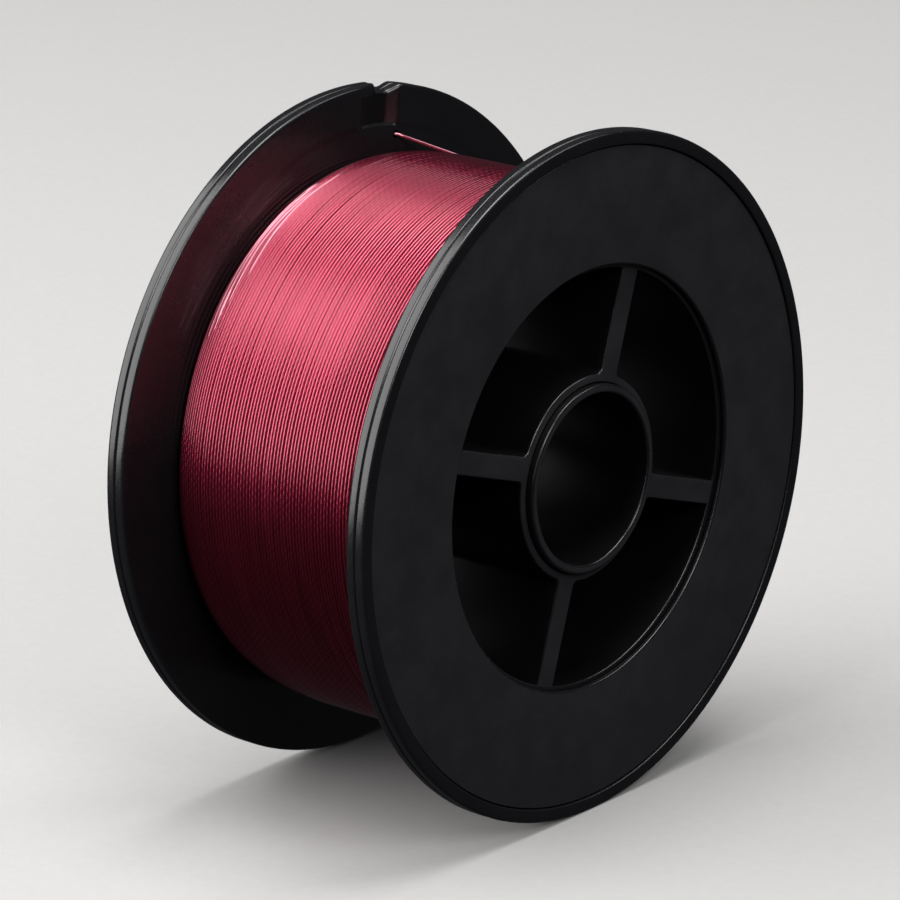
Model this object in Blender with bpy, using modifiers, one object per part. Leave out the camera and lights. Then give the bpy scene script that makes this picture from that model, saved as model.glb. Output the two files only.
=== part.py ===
# Fishing line spool, standing on its two rims.
# Origin at the middle of the bore, bore along Y, front flange towards -Y, +Z up. Metres.

import math

import bmesh
import bpy
import mathutils

MM = 0.001

# ---- driving dimensions ----------------------------------------------------
flange_radius = 40.0 * MM
overall_width = 38.2 * MM
flange_thickness = 2.5 * MM

bead_width = 1.6 * MM          # raised rim bead on the outer face of each flange
bead_height = 0.25 * MM        # how far the bead stands above the face ring
bead_chamfer = 0.25 * MM
rim_chamfer = 0.35 * MM

face_ring_thickness = 0.5 * MM
face_ring_chamfer = 0.15 * MM
drum_ledge = 0.5 * MM          # how much of the drum's end shows inside the face ring

rim_margin = 7.0 * MM          # how far the winding stays below the rims
winding_depth = 7.2 * MM       # line on the drum
winding_shoulder_width = 7.0 * MM
winding_shoulder_drop = 2.3 * MM
drum_wall = 1.3 * MM
lap_depth = 1.0 * MM           # half lap where the two drum halves meet

bore_radius = 10.0 * MM        # takes the spindle
sleeve_wall = 1.0 * MM
sleeve_chamfer = 0.3 * MM
boss_wall = 0.7 * MM

web_count = 4
web_thickness = 2.9 * MM
web_lean = math.radians(17.9)  # first web, from +Z towards +X
web_setback = 0.05 * MM        # web ends sit this far behind the boss and drum ends
peg_wall = 0.45 * MM           # left in a web beside a peg's socket
peg_length = 2.0 * MM

line_diameter = 0.4 * MM
line_hole_clearance = 0.35 * MM
tail_rise = 1.1 * MM           # from the winding's surface to the middle of the tail's hole
tail_inset = 4.3 * MM          # from the winding's rear end to where the tail leaves it

notch_angle = math.radians(7.7)
notch_clearance = 0.55 * MM    # between the tail's hole and the foot of the notch
notch_wall = 0.55 * MM         # left of the flange under the notch
notch_floor_width = 1.8 * MM
notch_left_run = 3.4 * MM      # gentle side, towards -X
notch_right_run = 1.4 * MM     # steep side, towards +X
rim_dip_depth = 0.9 * MM       # cut through the rim, in line with the notch

start_offset = math.radians(14.0)  # from the first web to the hole for the line's inner end

gap = 0.3 * MM                 # between pieces that touch
overshoot = 1.0 * MM           # how far a cutter runs past what it cuts
sink = 0.4 * MM                # how far a joined shape reaches into its neighbour

steps = 32                     # facets of every large turned piece, wide enough to stand on
small_steps = 16               # facets of pegs, holes and the knot

# ---- worked out from the above ---------------------------------------------
half_width = overall_width / 2
half_gap = gap / 2
inner_face = half_width - flange_thickness
ring_top = half_width - bead_height
ring_bottom = ring_top - face_ring_thickness
recess_floor = ring_bottom - gap
recess_radius = flange_radius - bead_width
face_ring_radius = recess_radius - gap

winding_radius = flange_radius - rim_margin
winding_bore_radius = winding_radius - winding_depth
winding_half_width = inner_face - gap
drum_radius = winding_bore_radius - gap
drum_bore_radius = drum_radius - drum_wall
lap_radius = drum_bore_radius + (drum_wall - gap) / 2
face_ring_bore_radius = drum_bore_radius + drum_ledge

sleeve_radius = bore_radius + sleeve_wall
boss_bore_radius = sleeve_radius + gap
boss_radius = boss_bore_radius + boss_wall
web_top = recess_floor - web_setback
web_bottom = half_gap + web_setback
peg_radius = web_thickness / 2 - peg_wall - gap
peg_distance = (boss_radius + drum_bore_radius) / 2

line_radius = line_diameter / 2
line_hole_radius = line_radius + line_hole_clearance
knot_radius = 2 * line_diameter
knot_distance = drum_bore_radius - gap - knot_radius
start_angle = web_lean + start_offset
start_hole_y = -(inner_face + half_gap) / 2

tail_hole_distance = winding_radius + tail_rise
tail_start_y = winding_half_width - tail_inset
notch_depth = recess_floor - inner_face - notch_wall
notch_foot = tail_hole_distance + line_hole_radius + notch_clearance
notch_right_edge = notch_floor_width / 2 + notch_right_run
tail_hole_angle = notch_angle + math.asin(notch_right_edge / tail_hole_distance)

half_step = math.pi / steps    # turns a flat facet to the bottom, to stand on
rim_corner = flange_radius / math.cos(half_step)  # the rim's flats are a flange radius away

front = -1
rear = 1


def clear_scene():
    for thing in list(bpy.data.objects):
        bpy.data.objects.remove(thing, do_unlink=True)


def new_collection(name):
    collection = bpy.data.collections.new(name)
    bpy.context.scene.collection.children.link(collection)
    return collection


def new_material(name, colour, roughness):
    material = bpy.data.materials.new(name)
    material.use_nodes = True
    shader = material.node_tree.nodes["Principled BSDF"]
    shader.inputs["Base Color"].default_value = (*colour, 1.0)
    shader.inputs["Roughness"].default_value = roughness
    shader.inputs["Metallic"].default_value = 0.0
    material.diffuse_color = (*colour, 1.0)
    return material


def add_object(name, mesh, collection, material=None):
    piece = bpy.data.objects.new(name, mesh)
    collection.objects.link(piece)
    if material:
        mesh.materials.append(material)
    return piece


def mark_as_cutter(piece):
    piece.hide_render = True
    piece.display_type = "WIRE"


def facing(side):
    """Turns a piece's own +Z outwards, to -Y for the front side and +Y for the rear."""
    return (-side * math.pi / 2, half_step, 0.0)


def around_axis(distance, angle, y):
    """A place at a distance from the bore axis, the angle running from +Z towards +X."""
    return (distance * math.sin(angle), y, distance * math.cos(angle))


def add_screw(piece, count):
    screw = piece.modifiers.new("spin", "SCREW")
    screw.steps = count
    screw.render_steps = count
    screw.use_merge_vertices = True
    screw.merge_threshold = 0.00001
    screw.use_smooth_shade = True


def turned(name, profile, collection, material, side=front):
    """A closed profile of (radius, height) points, spun round its own Z axis."""
    mesh = bpy.data.meshes.new(name)
    points = [(radius, 0.0, height) for radius, height in profile]
    edges = [(i, (i + 1) % len(points)) for i in range(len(points))]
    mesh.from_pydata(points, edges, [])
    piece = add_object(name, mesh, collection, material)
    add_screw(piece, steps)
    piece.rotation_euler = facing(side)
    return piece


def place_new(name, location, rotation, collection):
    """Names, places and files the primitive that was just added."""
    piece = bpy.context.active_object
    for owner in list(piece.users_collection):
        owner.objects.unlink(piece)
    collection.objects.link(piece)
    piece.name = name
    piece.location = location
    piece.rotation_euler = rotation
    return piece


def box(name, size, location, rotation, collection):
    bpy.ops.mesh.primitive_cube_add(size=1.0)
    piece = place_new(name, location, rotation, collection)
    piece.data.transform(mathutils.Matrix.Diagonal((*size, 1.0)))
    return piece


def rod(name, radius, length, location, rotation, collection):
    bpy.ops.mesh.primitive_cylinder_add(vertices=small_steps, radius=radius, depth=length)
    return place_new(name, location, rotation, collection)


def prism(name, outline, low, high, axes, angle, collection):
    """An outline in the first two of the named axes, extruded along the third.

    The result is turned about the bore axis by an angle from +Z towards +X.
    """
    order = ["xyz".index(letter) for letter in axes]
    shape = bmesh.new()
    corners = []
    for across, up in outline:
        place = [0.0, 0.0, 0.0]
        for axis, value in zip(order, (across, up, low)):
            place[axis] = value
        corners.append(shape.verts.new(place))
    base = shape.faces.new(corners)
    grown = bmesh.ops.extrude_face_region(shape, geom=[base])
    shift = [0.0, 0.0, 0.0]
    shift[order[2]] = high - low
    moved = [item for item in grown["geom"] if isinstance(item, bmesh.types.BMVert)]
    bmesh.ops.translate(shape, verts=moved, vec=shift)
    bmesh.ops.recalc_face_normals(shape, faces=shape.faces)
    mesh = bpy.data.meshes.new(name)
    shape.to_mesh(mesh)
    shape.free()
    piece = add_object(name, mesh, collection)
    piece.rotation_euler = (0.0, angle, 0.0)
    return piece


def boolean(piece, tool, operation):
    modifier = piece.modifiers.new(tool.name, "BOOLEAN")
    modifier.operation = operation
    modifier.solver = "EXACT"
    modifier.object = tool
    mark_as_cutter(tool)


# ---- pieces ----------------------------------------------------------------
def flange_and_drum_profile(side):
    """Rim, inner face, half of the drum, and the recess in the outer face."""
    drum_end = [(drum_radius, half_gap), (drum_bore_radius, half_gap)]
    if side == front:
        drum_end = [(drum_radius, half_gap), (lap_radius, half_gap),
                    (lap_radius, half_gap - lap_depth), (drum_bore_radius, half_gap - lap_depth)]
    return [
        (rim_corner - rim_chamfer, half_width),
        (rim_corner, half_width - rim_chamfer),
        (rim_corner, inner_face + rim_chamfer),
        (rim_corner - rim_chamfer, inner_face),
        (drum_radius, inner_face),
        *drum_end,
        (drum_bore_radius, recess_floor),
        (recess_radius, recess_floor),
        (recess_radius, half_width - bead_chamfer),
        (recess_radius + bead_chamfer, half_width),
    ]


def boss_profile():
    return [(boss_radius, recess_floor), (boss_radius, half_gap),
            (boss_bore_radius, half_gap), (boss_bore_radius, recess_floor)]


def add_webs_and_boss(half, side, word, tools):
    boss = turned(word + "_boss", boss_profile(), tools, None, side)
    boolean(half, boss, "UNION")
    inner_end = boss_bore_radius + sink
    outer_end = drum_bore_radius + sink
    length = web_top - web_bottom
    middle_y = side * (web_top + web_bottom) / 2
    for i in range(web_count):
        angle = web_lean + i * 2 * math.pi / web_count
        middle = around_axis((inner_end + outer_end) / 2, angle, middle_y)
        size = (web_thickness, length, outer_end - inner_end)
        web = box(f"{word}_web_{i + 1}", size, middle, (0.0, angle, 0.0), tools)
        boolean(half, web, "UNION")


def add_pegs(half, tools):
    for i in range(web_count):
        angle = web_lean + i * 2 * math.pi / web_count
        low = -half_gap - sink
        high = -half_gap + peg_length
        middle = around_axis(peg_distance, angle, (low + high) / 2)
        peg = rod(f"peg_{i + 1}", peg_radius, high - low, middle, (math.pi / 2, 0.0, 0.0), tools)
        boolean(half, peg, "UNION")


def cut_lap_socket(half, tools):
    """The step in the rear drum and its webs that the front drum's lip slides into."""
    low = half_gap - overshoot
    high = half_gap + lap_depth
    profile = [(lap_radius + gap, high), (lap_radius + gap, low),
               (drum_bore_radius - gap, low), (drum_bore_radius - gap, high)]
    socket = turned("lap_socket", profile, tools, None, rear)
    boolean(half, socket, "DIFFERENCE")


def cut_peg_sockets(half, tools):
    for i in range(web_count):
        angle = web_lean + i * 2 * math.pi / web_count
        low = half_gap - overshoot
        high = -half_gap + peg_length + gap
        middle = around_axis(peg_distance, angle, (low + high) / 2)
        rotation = (math.pi / 2, 0.0, 0.0)
        socket = rod(f"socket_{i + 1}", peg_radius + gap, high - low, middle, rotation, tools)
        boolean(half, socket, "DIFFERENCE")


def cut_notch(half, tools):
    """The channel that leads the line's end to the rim, and the dip that it makes in the rim."""
    half_floor = notch_floor_width / 2
    left = -half_floor - notch_left_run
    right = notch_right_edge
    floor_y = inner_face + notch_depth
    mouth_y = inner_face - overshoot
    spread = overshoot / notch_depth
    section = [
        (-half_floor, floor_y),
        (half_floor, floor_y),
        (right + notch_right_run * spread, mouth_y),
        (left - notch_left_run * spread, mouth_y),
    ]
    channel = prism("notch_channel", section, notch_foot, flange_radius + overshoot,
                    "xyz", notch_angle, tools)
    boolean(half, channel, "DIFFERENCE")

    dip_floor = flange_radius - rim_dip_depth
    back_y = half_width + overshoot
    high = flange_radius + rim_dip_depth * spread
    section = [(mouth_y, high), (floor_y, dip_floor), (back_y, dip_floor), (back_y, high)]
    dip = prism("rim_dip", section, -half_floor, right, "yzx", notch_angle, tools)
    boolean(half, dip, "DIFFERENCE")


def cut_tail_hole(piece, word, tools):
    middle_y = (inner_face + half_width) / 2
    length = flange_thickness + 2 * overshoot
    place = around_axis(tail_hole_distance, tail_hole_angle, middle_y)
    rotation = (math.pi / 2, 0.0, 0.0)
    hole = rod(word + "_tail_hole", line_hole_radius, length, place, rotation, tools)
    boolean(piece, hole, "DIFFERENCE")


def cut_start_hole(half, tools):
    """The hole in the drum that the line's inner end goes through, to its knot."""
    length = drum_wall + 2 * overshoot
    place = around_axis(drum_bore_radius + drum_wall / 2, start_angle, start_hole_y)
    rotation = (0.0, start_angle, 0.0)
    hole = rod("start_hole", line_hole_radius, length, place, rotation, tools)
    boolean(half, hole, "DIFFERENCE")


def make_half(side, word, parts, tools, plastic):
    half = turned(word + "_half", flange_and_drum_profile(side), parts, plastic, side)
    add_webs_and_boss(half, side, word, tools)
    if side == front:
        add_pegs(half, tools)
        cut_start_hole(half, tools)
    else:
        cut_lap_socket(half, tools)
        cut_peg_sockets(half, tools)
        cut_notch(half, tools)
        cut_tail_hole(half, word, tools)
    return half


def make_face_ring(side, word, parts, tools, plastic):
    profile = [
        (face_ring_radius, ring_top),
        (face_ring_radius, ring_bottom),
        (face_ring_bore_radius, ring_bottom),
        (face_ring_bore_radius, ring_top - face_ring_chamfer),
        (face_ring_bore_radius + face_ring_chamfer, ring_top),
    ]
    ring = turned(word + "_face_ring", profile, parts, plastic, side)
    if side == rear:
        cut_tail_hole(ring, "ring", tools)
    return ring


def make_hub_sleeve(parts, plastic):
    """One tube through both halves, its ends level with the face rings."""
    top = ring_top
    profile = [
        (sleeve_radius - sleeve_chamfer, top),
        (sleeve_radius, top - sleeve_chamfer),
        (sleeve_radius, -top + sleeve_chamfer),
        (sleeve_radius - sleeve_chamfer, -top),
        (bore_radius + sleeve_chamfer, -top),
        (bore_radius, -top + sleeve_chamfer),
        (bore_radius, top - sleeve_chamfer),
        (bore_radius + sleeve_chamfer, top),
    ]
    return turned("hub_sleeve", profile, parts, plastic)


def winding_surface(y):
    """The winding's radius at a distance y along the axis, level and then down an ellipse."""
    level_half = winding_half_width - winding_shoulder_width
    into_shoulder = max(0.0, abs(y) - level_half) / winding_shoulder_width
    return winding_radius - winding_shoulder_drop * (1 - math.sqrt(1 - into_shoulder ** 2))


def shoulder_points(side, count=5):
    """A quarter of an ellipse, from the flange up to the full radius, or back down."""
    points = []
    for i in range(count + 1):
        turn = i * math.pi / 2 / count
        height = winding_half_width - winding_shoulder_width * (1 - math.cos(turn))
        points.append((winding_surface(height), side * height))
    return points


def make_winding(parts, nylon):
    upper = shoulder_points(1)
    lower = list(reversed(shoulder_points(-1)))
    bore = [(winding_bore_radius, -winding_half_width), (winding_bore_radius, winding_half_width)]
    return turned("line_winding", upper + lower + bore, parts, nylon)


def make_tube(name, points, radius, collection, material):
    curve = bpy.data.curves.new(name, "CURVE")
    curve.dimensions = "3D"
    curve.bevel_depth = radius
    curve.bevel_resolution = 2
    curve.use_fill_caps = True
    spline = curve.splines.new("POLY")
    spline.points.add(len(points) - 1)
    for point, place in zip(spline.points, points):
        point.co = (*place, 1.0)
    piece = bpy.data.objects.new(name, curve)
    collection.objects.link(piece)
    curve.materials.append(material)
    return piece


def make_line_tail(parts, nylon):
    """Leaves the winding on a tangent, runs straight to the hole and turns into it."""
    foot = winding_surface(tail_start_y) + gap + line_radius
    foot_angle = tail_hole_angle + math.acos(foot / tail_hole_distance)
    start = around_axis(foot, foot_angle, tail_start_y)
    face_y = inner_face - gap - line_radius
    corner = around_axis(tail_hole_distance, tail_hole_angle, face_y)
    end = around_axis(tail_hole_distance, tail_hole_angle, ring_top)
    bend = 3 * line_diameter
    bend_steps = 6
    run = math.dist(start, corner)
    straight_steps = round((run - bend) / (2.5 * line_diameter))
    points = []
    for i in range(straight_steps + 1):
        share = i / straight_steps * (run - bend) / run
        points.append([a + (b - a) * share for a, b in zip(start, corner)])
    before = points[-1]
    after = [corner[0], face_y + bend, corner[2]]
    for i in range(1, bend_steps + 1):
        t = i / bend_steps
        weights = ((1 - t) ** 2, 2 * t * (1 - t), t ** 2)
        places = zip(before, corner, after)
        points.append([sum(w * value for w, value in zip(weights, place)) for place in places])
    points.append(end)
    return make_tube("line_tail", points, line_radius, parts, nylon)


def make_start_knot(parts, nylon):
    """The line's inner end: a lead through the drum wall, and the knot that holds it."""
    lead_end = winding_bore_radius - gap - knot_distance
    lead_foot = math.sqrt(knot_radius ** 2 - line_radius ** 2)
    bands = 6
    profile = [(0.0, lead_end), (line_radius, lead_end), (line_radius, lead_foot)]
    for i in range(1, bands):
        turn = math.pi * i / bands
        profile.append((knot_radius * math.sin(turn), knot_radius * math.cos(turn)))
    profile.append((0.0, -knot_radius))
    mesh = bpy.data.meshes.new("line_start_knot")
    points = [(radius, 0.0, height) for radius, height in profile]
    mesh.from_pydata(points, [(i, i + 1) for i in range(len(points) - 1)], [])
    knot = add_object("line_start_knot", mesh, parts, nylon)
    add_screw(knot, small_steps)
    knot.location = around_axis(knot_distance, start_angle, start_hole_y)
    knot.rotation_euler = (0.0, start_angle, 0.0)
    return knot


def main():
    clear_scene()
    parts = new_collection("fishing_line_spool")
    tools = new_collection("cutters")
    plastic = new_material("black_spool_plastic", (0.012, 0.012, 0.013), 0.38)
    face_plastic = new_material("black_face_plastic", (0.011, 0.011, 0.012), 0.5)
    nylon = new_material("red_nylon_line", (0.55, 0.03, 0.09), 0.25)

    make_half(front, "front", parts, tools, plastic)
    make_half(rear, "rear", parts, tools, plastic)
    make_face_ring(front, "front", parts, tools, face_plastic)
    make_face_ring(rear, "rear", parts, tools, face_plastic)
    make_hub_sleeve(parts, plastic)
    make_winding(parts, nylon)
    make_line_tail(parts, nylon)
    make_start_knot(parts, nylon)


main()
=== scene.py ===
import math

import bmesh
import bpy
import mathutils
import numpy as np
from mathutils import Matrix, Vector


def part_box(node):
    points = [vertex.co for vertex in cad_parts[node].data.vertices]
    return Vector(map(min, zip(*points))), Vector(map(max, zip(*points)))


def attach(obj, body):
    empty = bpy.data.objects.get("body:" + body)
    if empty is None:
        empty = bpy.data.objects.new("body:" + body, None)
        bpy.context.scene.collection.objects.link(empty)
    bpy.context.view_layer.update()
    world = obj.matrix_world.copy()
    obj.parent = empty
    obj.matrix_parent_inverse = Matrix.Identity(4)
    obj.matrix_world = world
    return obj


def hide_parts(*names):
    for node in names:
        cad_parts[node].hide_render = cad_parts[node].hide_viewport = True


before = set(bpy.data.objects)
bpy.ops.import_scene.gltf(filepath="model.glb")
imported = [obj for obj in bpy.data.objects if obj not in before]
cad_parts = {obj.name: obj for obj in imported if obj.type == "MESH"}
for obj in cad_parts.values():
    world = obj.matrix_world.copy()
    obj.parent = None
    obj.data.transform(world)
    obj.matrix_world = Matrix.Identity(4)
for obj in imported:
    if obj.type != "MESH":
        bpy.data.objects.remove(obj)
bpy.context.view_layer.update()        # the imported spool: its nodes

mm = 0.001
samePlace = 0.0001 * mm       # outline points nearer than this are one
weldDistance = 0.004 * mm     # and so are corners left by a cut

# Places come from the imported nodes. The bore runs along Y, the front flange is at -Y.
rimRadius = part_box("front_half")[1].z
halfWidth = -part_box("front_half")[0].y
ringTop = -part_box("front_face_ring")[0].y
ringBottom = -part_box("front_face_ring")[1].y
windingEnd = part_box("line_winding")[1].y


# Tools that all the pieces use.

def linearColour(hexColour):
    # sRGB hex to linear, with the usual 2.4 power curve
    parts = np.array([int(hexColour[i:i + 2], 16) for i in (1, 3, 5)]) / 255
    low = parts / 12.92
    high = ((parts + 0.055) / 1.055) ** 2.4
    return (*np.where(parts <= 0.04045, low, high).tolist(), 1.0)


def addNode(tree, kind, links=None, values=None, **settings):
    # one node, its settings, then the outputs and the fixed values that go into its sockets
    node = tree.nodes.new(kind)
    for name, value in settings.items():
        setattr(node, name, value)
    for socket, value in (values or {}).items():
        node.inputs[socket].default_value = value
    for socket, source in (links or {}).items():
        tree.links.new(source, node.inputs[socket])
    return node


def signedVolume(points, faces):
    # sum of the tetrahedra from the origin to each triangle of each quad
    a, b, c, d = (points[faces[:, i]] for i in range(4))
    return (np.einsum("ij,ij->i", a, np.cross(b, c)) + np.einsum("ij,ij->i", a, np.cross(c, d))).sum() / 6


def gridFaces(rows, columns, closeRows, closeColumns):
    # four corners of every cell of a grid, wrapped round where it closes
    i = np.arange(rows if closeRows else rows - 1)[:, None]
    j = np.arange(columns if closeColumns else columns - 1)[None, :]
    nextI, nextJ = (i + 1) % rows, (j + 1) % columns
    corners = [i * columns + j, i * columns + nextJ, nextI * columns + nextJ, nextI * columns + j]
    return np.stack([np.broadcast_to(c, (i.size, j.size)) for c in corners], -1).reshape(-1, 4)


def newMesh(name, points, faces, caps=()):
    # quads from arrays, turned so that they face outwards, and any end caps given as corner loops
    points = np.asarray(points, float).reshape(-1, 3)
    outwards = signedVolume(points, faces) > 0
    if not outwards:
        faces = faces[:, ::-1]
    loops = [list(cap) if outwards else list(cap)[::-1] for cap in caps]
    mesh = bpy.data.meshes.new(name)
    mesh.from_pydata(points.tolist(), [], faces.tolist() + loops)
    mesh.update()
    return mesh


def smoothed(mesh, sharpAngle=35):
    # smooth shading, with edges sharper than the angle kept crisp; 180 keeps none
    mesh.shade_smooth()
    mesh.set_sharp_from_angle(angle=math.radians(sharpAngle))


def newPiece(name, mesh, material, sharpAngle=35):
    piece = bpy.data.objects.new(name, mesh)
    bpy.context.scene.collection.objects.link(piece)
    smoothed(mesh, sharpAngle)
    mesh.materials.clear()
    mesh.materials.append(material)
    return piece


def settle(piece, slot, *nodes):
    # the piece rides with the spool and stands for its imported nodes
    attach(piece, "root")
    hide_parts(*nodes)
    return piece


def filleted(corners, radii, steps=6):
    # A closed outline with each corner rounded: a quadratic arc that starts and ends
    # its radius away from the corner, along the two sides.
    corners = np.array(corners, float)
    radii = np.array(radii, float)[:, None]
    before = np.roll(corners, 1, 0) - corners
    after = np.roll(corners, -1, 0) - corners
    start = corners + before / np.linalg.norm(before, axis=1, keepdims=True) * radii
    end = corners + after / np.linalg.norm(after, axis=1, keepdims=True) * radii
    t = np.linspace(0, 1, steps)[None, :, None]
    arcs = (1 - t) ** 2 * start[:, None] + 2 * t * (1 - t) * corners[:, None] + t ** 2 * end[:, None]
    points = arcs.reshape(-1, 2)
    apart = np.linalg.norm(points - np.roll(points, 1, 0), axis=1) > samePlace
    return points[apart]


def turned(profile, angles):
    # (radius, y) points carried round the bore: x = r sin a, z = r cos a
    radius, along = profile[:, 0][None, :], profile[:, 1][None, :]
    a = angles[:, None]
    return np.stack([radius * np.sin(a), along + 0 * a, radius * np.cos(a)], -1)


def evenAngles(count):
    return np.arange(count) * 2 * math.pi / count


def around(distance, angle, along):
    # a place at a distance from the bore's axis, the angle running from +Z towards +X
    return np.array([distance * math.sin(angle), along, distance * math.cos(angle)])


levelNormal = 0.97            # a face counts as level when its normal runs this much along the bore


def faceArrays(mesh):
    # every face's normal and its centre
    found = []
    for what in ("normal", "center"):
        flat = np.empty(len(mesh.polygons) * 3, np.float32)
        mesh.polygons.foreach_get(what, flat)
        found.append(flat.reshape(-1, 3))
    return found


def dressFaces(mesh, materials, chosen):
    # more materials after the first, and the number of the one that each face takes
    for material in materials:
        mesh.materials.append(material)
    mesh.polygons.foreach_set("material_index", np.asarray(chosen, np.int32))


def weld(mesh):
    # joins corners that a cut left almost on top of each other, and drops the slivers between
    work = bmesh.new()
    work.from_mesh(mesh)
    bmesh.ops.remove_doubles(work, verts=work.verts, dist=weldDistance)
    bmesh.ops.dissolve_degenerate(work, edges=work.edges, dist=weldDistance)
    work.to_mesh(mesh)
    work.free()


def combined(body, tools, operation):
    # the body with closed tools joined or cut, as one new mesh
    for tool in tools:
        change = body.modifiers.new(tool.name, "BOOLEAN")
        change.operation = operation
        change.solver = "EXACT"
        change.object = tool
    bpy.context.view_layer.update()
    ready = body.evaluated_get(bpy.context.evaluated_depsgraph_get())
    mesh = bpy.data.meshes.new_from_object(ready)
    body.modifiers.clear()
    body.data = mesh
    weld(mesh)
    for tool in tools:
        bpy.data.objects.remove(tool)
    return body


# Materials.
firstColour, secondColour, mixedColour = 6, 7, 2      # a Mix node's sockets when it mixes colours


def startMaterial(name):
    material = bpy.data.materials.new(name)
    material.use_nodes = True
    tree = material.node_tree
    place = addNode(tree, "ShaderNodeTexCoord").outputs["Object"]
    return material, tree, tree.nodes["Principled BSDF"], place


glossSizes = {
    "colour": "#0f0f11",
    "paleColour": "#161618",
    "roughness": (0.16, 0.3),
    "cloudSpacing": 9 * mm,      # slow change of gloss over a moulding
    "rippleSpacing": 3.5 * mm,   # flow ripple left by the mould
    "rippleDepth": 0.012 * mm,
    "hairlineSpacing": 0.35 * mm,
    "clouding": (0.12, 0.4),     # the stretch of the pattern that turns gloss into dull
}

# painted shade: the plastic in the pockets gets a darker colour than the polished black, where shade falls in
# them
dullShadedSizes = dict(glossSizes, colour="#040404", paleColour="#060606", roughness=(0.28, 0.36))


def mouldedStyrene(name, s):
    # Black polystyrene. From a polished mould: a dark gloss with faint flow ripples,
    # duller clouds where it has been handled, and hairline scuffs. In the deep pockets,
    # where the steel can't be polished, the same plastic is dull, and its colour is made darker as painted
    # shade.
    material, tree, shader, place = startMaterial(name)
    clouds = addNode(tree, "ShaderNodeTexNoise", {"Vector": place},
                     {"Scale": 1 / s["cloudSpacing"], "Detail": 3.0, "Roughness": 0.6})
    scuffs = addNode(tree, "ShaderNodeTexNoise", {"Vector": place},
                     {"Scale": 1 / s["hairlineSpacing"], "Detail": 2.0, "Roughness": 0.7})
    gloss = addNode(tree, "ShaderNodeMath", {0: clouds.outputs["Fac"], 1: scuffs.outputs["Fac"]},
                    operation="MULTIPLY")
    rough = addNode(tree, "ShaderNodeMapRange", {"Value": gloss.outputs[0]},
                    {"From Min": s["clouding"][0], "From Max": s["clouding"][1],
                     "To Min": s["roughness"][0], "To Max": s["roughness"][1]})
    tint = addNode(tree, "ShaderNodeMix", {"Factor": clouds.outputs["Fac"]},
                   {firstColour: linearColour(s["colour"]), secondColour: linearColour(s["paleColour"])},
                   data_type="RGBA")
    ripple = addNode(tree, "ShaderNodeTexNoise", {"Vector": place},
                     {"Scale": 1 / s["rippleSpacing"], "Detail": 1.0})
    bump = addNode(tree, "ShaderNodeBump", {"Height": ripple.outputs["Fac"]},
                   {"Strength": 0.5, "Distance": s["rippleDepth"]})
    tree.links.new(tint.outputs[mixedColour], shader.inputs["Base Color"])
    tree.links.new(rough.outputs["Result"], shader.inputs["Roughness"])
    tree.links.new(bump.outputs["Normal"], shader.inputs["Normal"])
    shader.inputs["IOR"].default_value = 1.5
    return material


faceSizes = {
    "colour": "#1b1b1e",
    "paleColour": "#222225",
    "roughness": (0.46, 0.58),
    "grainSpacing": 0.3 * mm,    # spark-eroded grain, drawn about twice as coarse as real
    "grainDepth": 0.02 * mm,
    "mottleSpacing": 5 * mm,
    "mottling": (0.35, 0.65),    # the stretch of the mottle that turns satin into dull
}


def sparkErodedStyrene():
    # Black polystyrene from a spark-eroded mould: an even, fine-grained satin
    # that spreads the light, with a slow mottle.
    s = faceSizes
    material, tree, shader, place = startMaterial("moulded black styrene, spark-eroded tool")
    grain = addNode(tree, "ShaderNodeTexNoise", {"Vector": place},
                    {"Scale": 1 / s["grainSpacing"], "Detail": 2.0, "Roughness": 0.6})
    mottle = addNode(tree, "ShaderNodeTexNoise", {"Vector": place},
                     {"Scale": 1 / s["mottleSpacing"], "Detail": 4.0, "Roughness": 0.65})
    tint = addNode(tree, "ShaderNodeMix", {"Factor": mottle.outputs["Fac"]},
                   {firstColour: linearColour(s["colour"]), secondColour: linearColour(s["paleColour"])},
                   data_type="RGBA")
    rough = addNode(tree, "ShaderNodeMapRange", {"Value": mottle.outputs["Fac"]},
                    {"From Min": s["mottling"][0], "From Max": s["mottling"][1],
                     "To Min": s["roughness"][0], "To Max": s["roughness"][1]})
    bump = addNode(tree, "ShaderNodeBump", {"Height": grain.outputs["Fac"]},
                   {"Strength": 0.6, "Distance": s["grainDepth"]})
    tree.links.new(tint.outputs[mixedColour], shader.inputs["Base Color"])
    tree.links.new(rough.outputs["Result"], shader.inputs["Roughness"])
    tree.links.new(bump.outputs["Normal"], shader.inputs["Normal"])
    shader.inputs["IOR"].default_value = 1.5
    return material


nylonSizes = {
    "deep": "#700c26",
    "bright": "#a02c48",
    "litStrandDeep": "#9c4458",      # painted highlight: a strand on its own lets more light through, and its colour is drawn paler for that and its shine
    "litStrandBright": "#d48c9c",
    "roughness": 0.3,
    "glow": 0.97,                # share of the light that comes back tinted, as off a satin thread
    "bandSpacing": 2.2 * mm,     # lighter and darker groups of turns
    "bandStretch": (0.12, 1.0, 0.12),    # draws the bands out round the bore
    "bandTint": (0.0, 0.8),      # the stretch of the pattern that goes from deep to bright
    "wavesPerTurn": 222.5,       # dips where a turn crosses those below, 0.93 mm apart;
                                 # the half staggers each turn against the next
    "waveDepth": 0.012 * mm,
    "crestHighlight": 0.13,            # painted highlight: how much a wave's crest lightens the strand's colour
    "coatWeight": 0.7,
    "coatRoughness": 0.15,
    "ior": 1.53,                 # nylon 6
}


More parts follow.
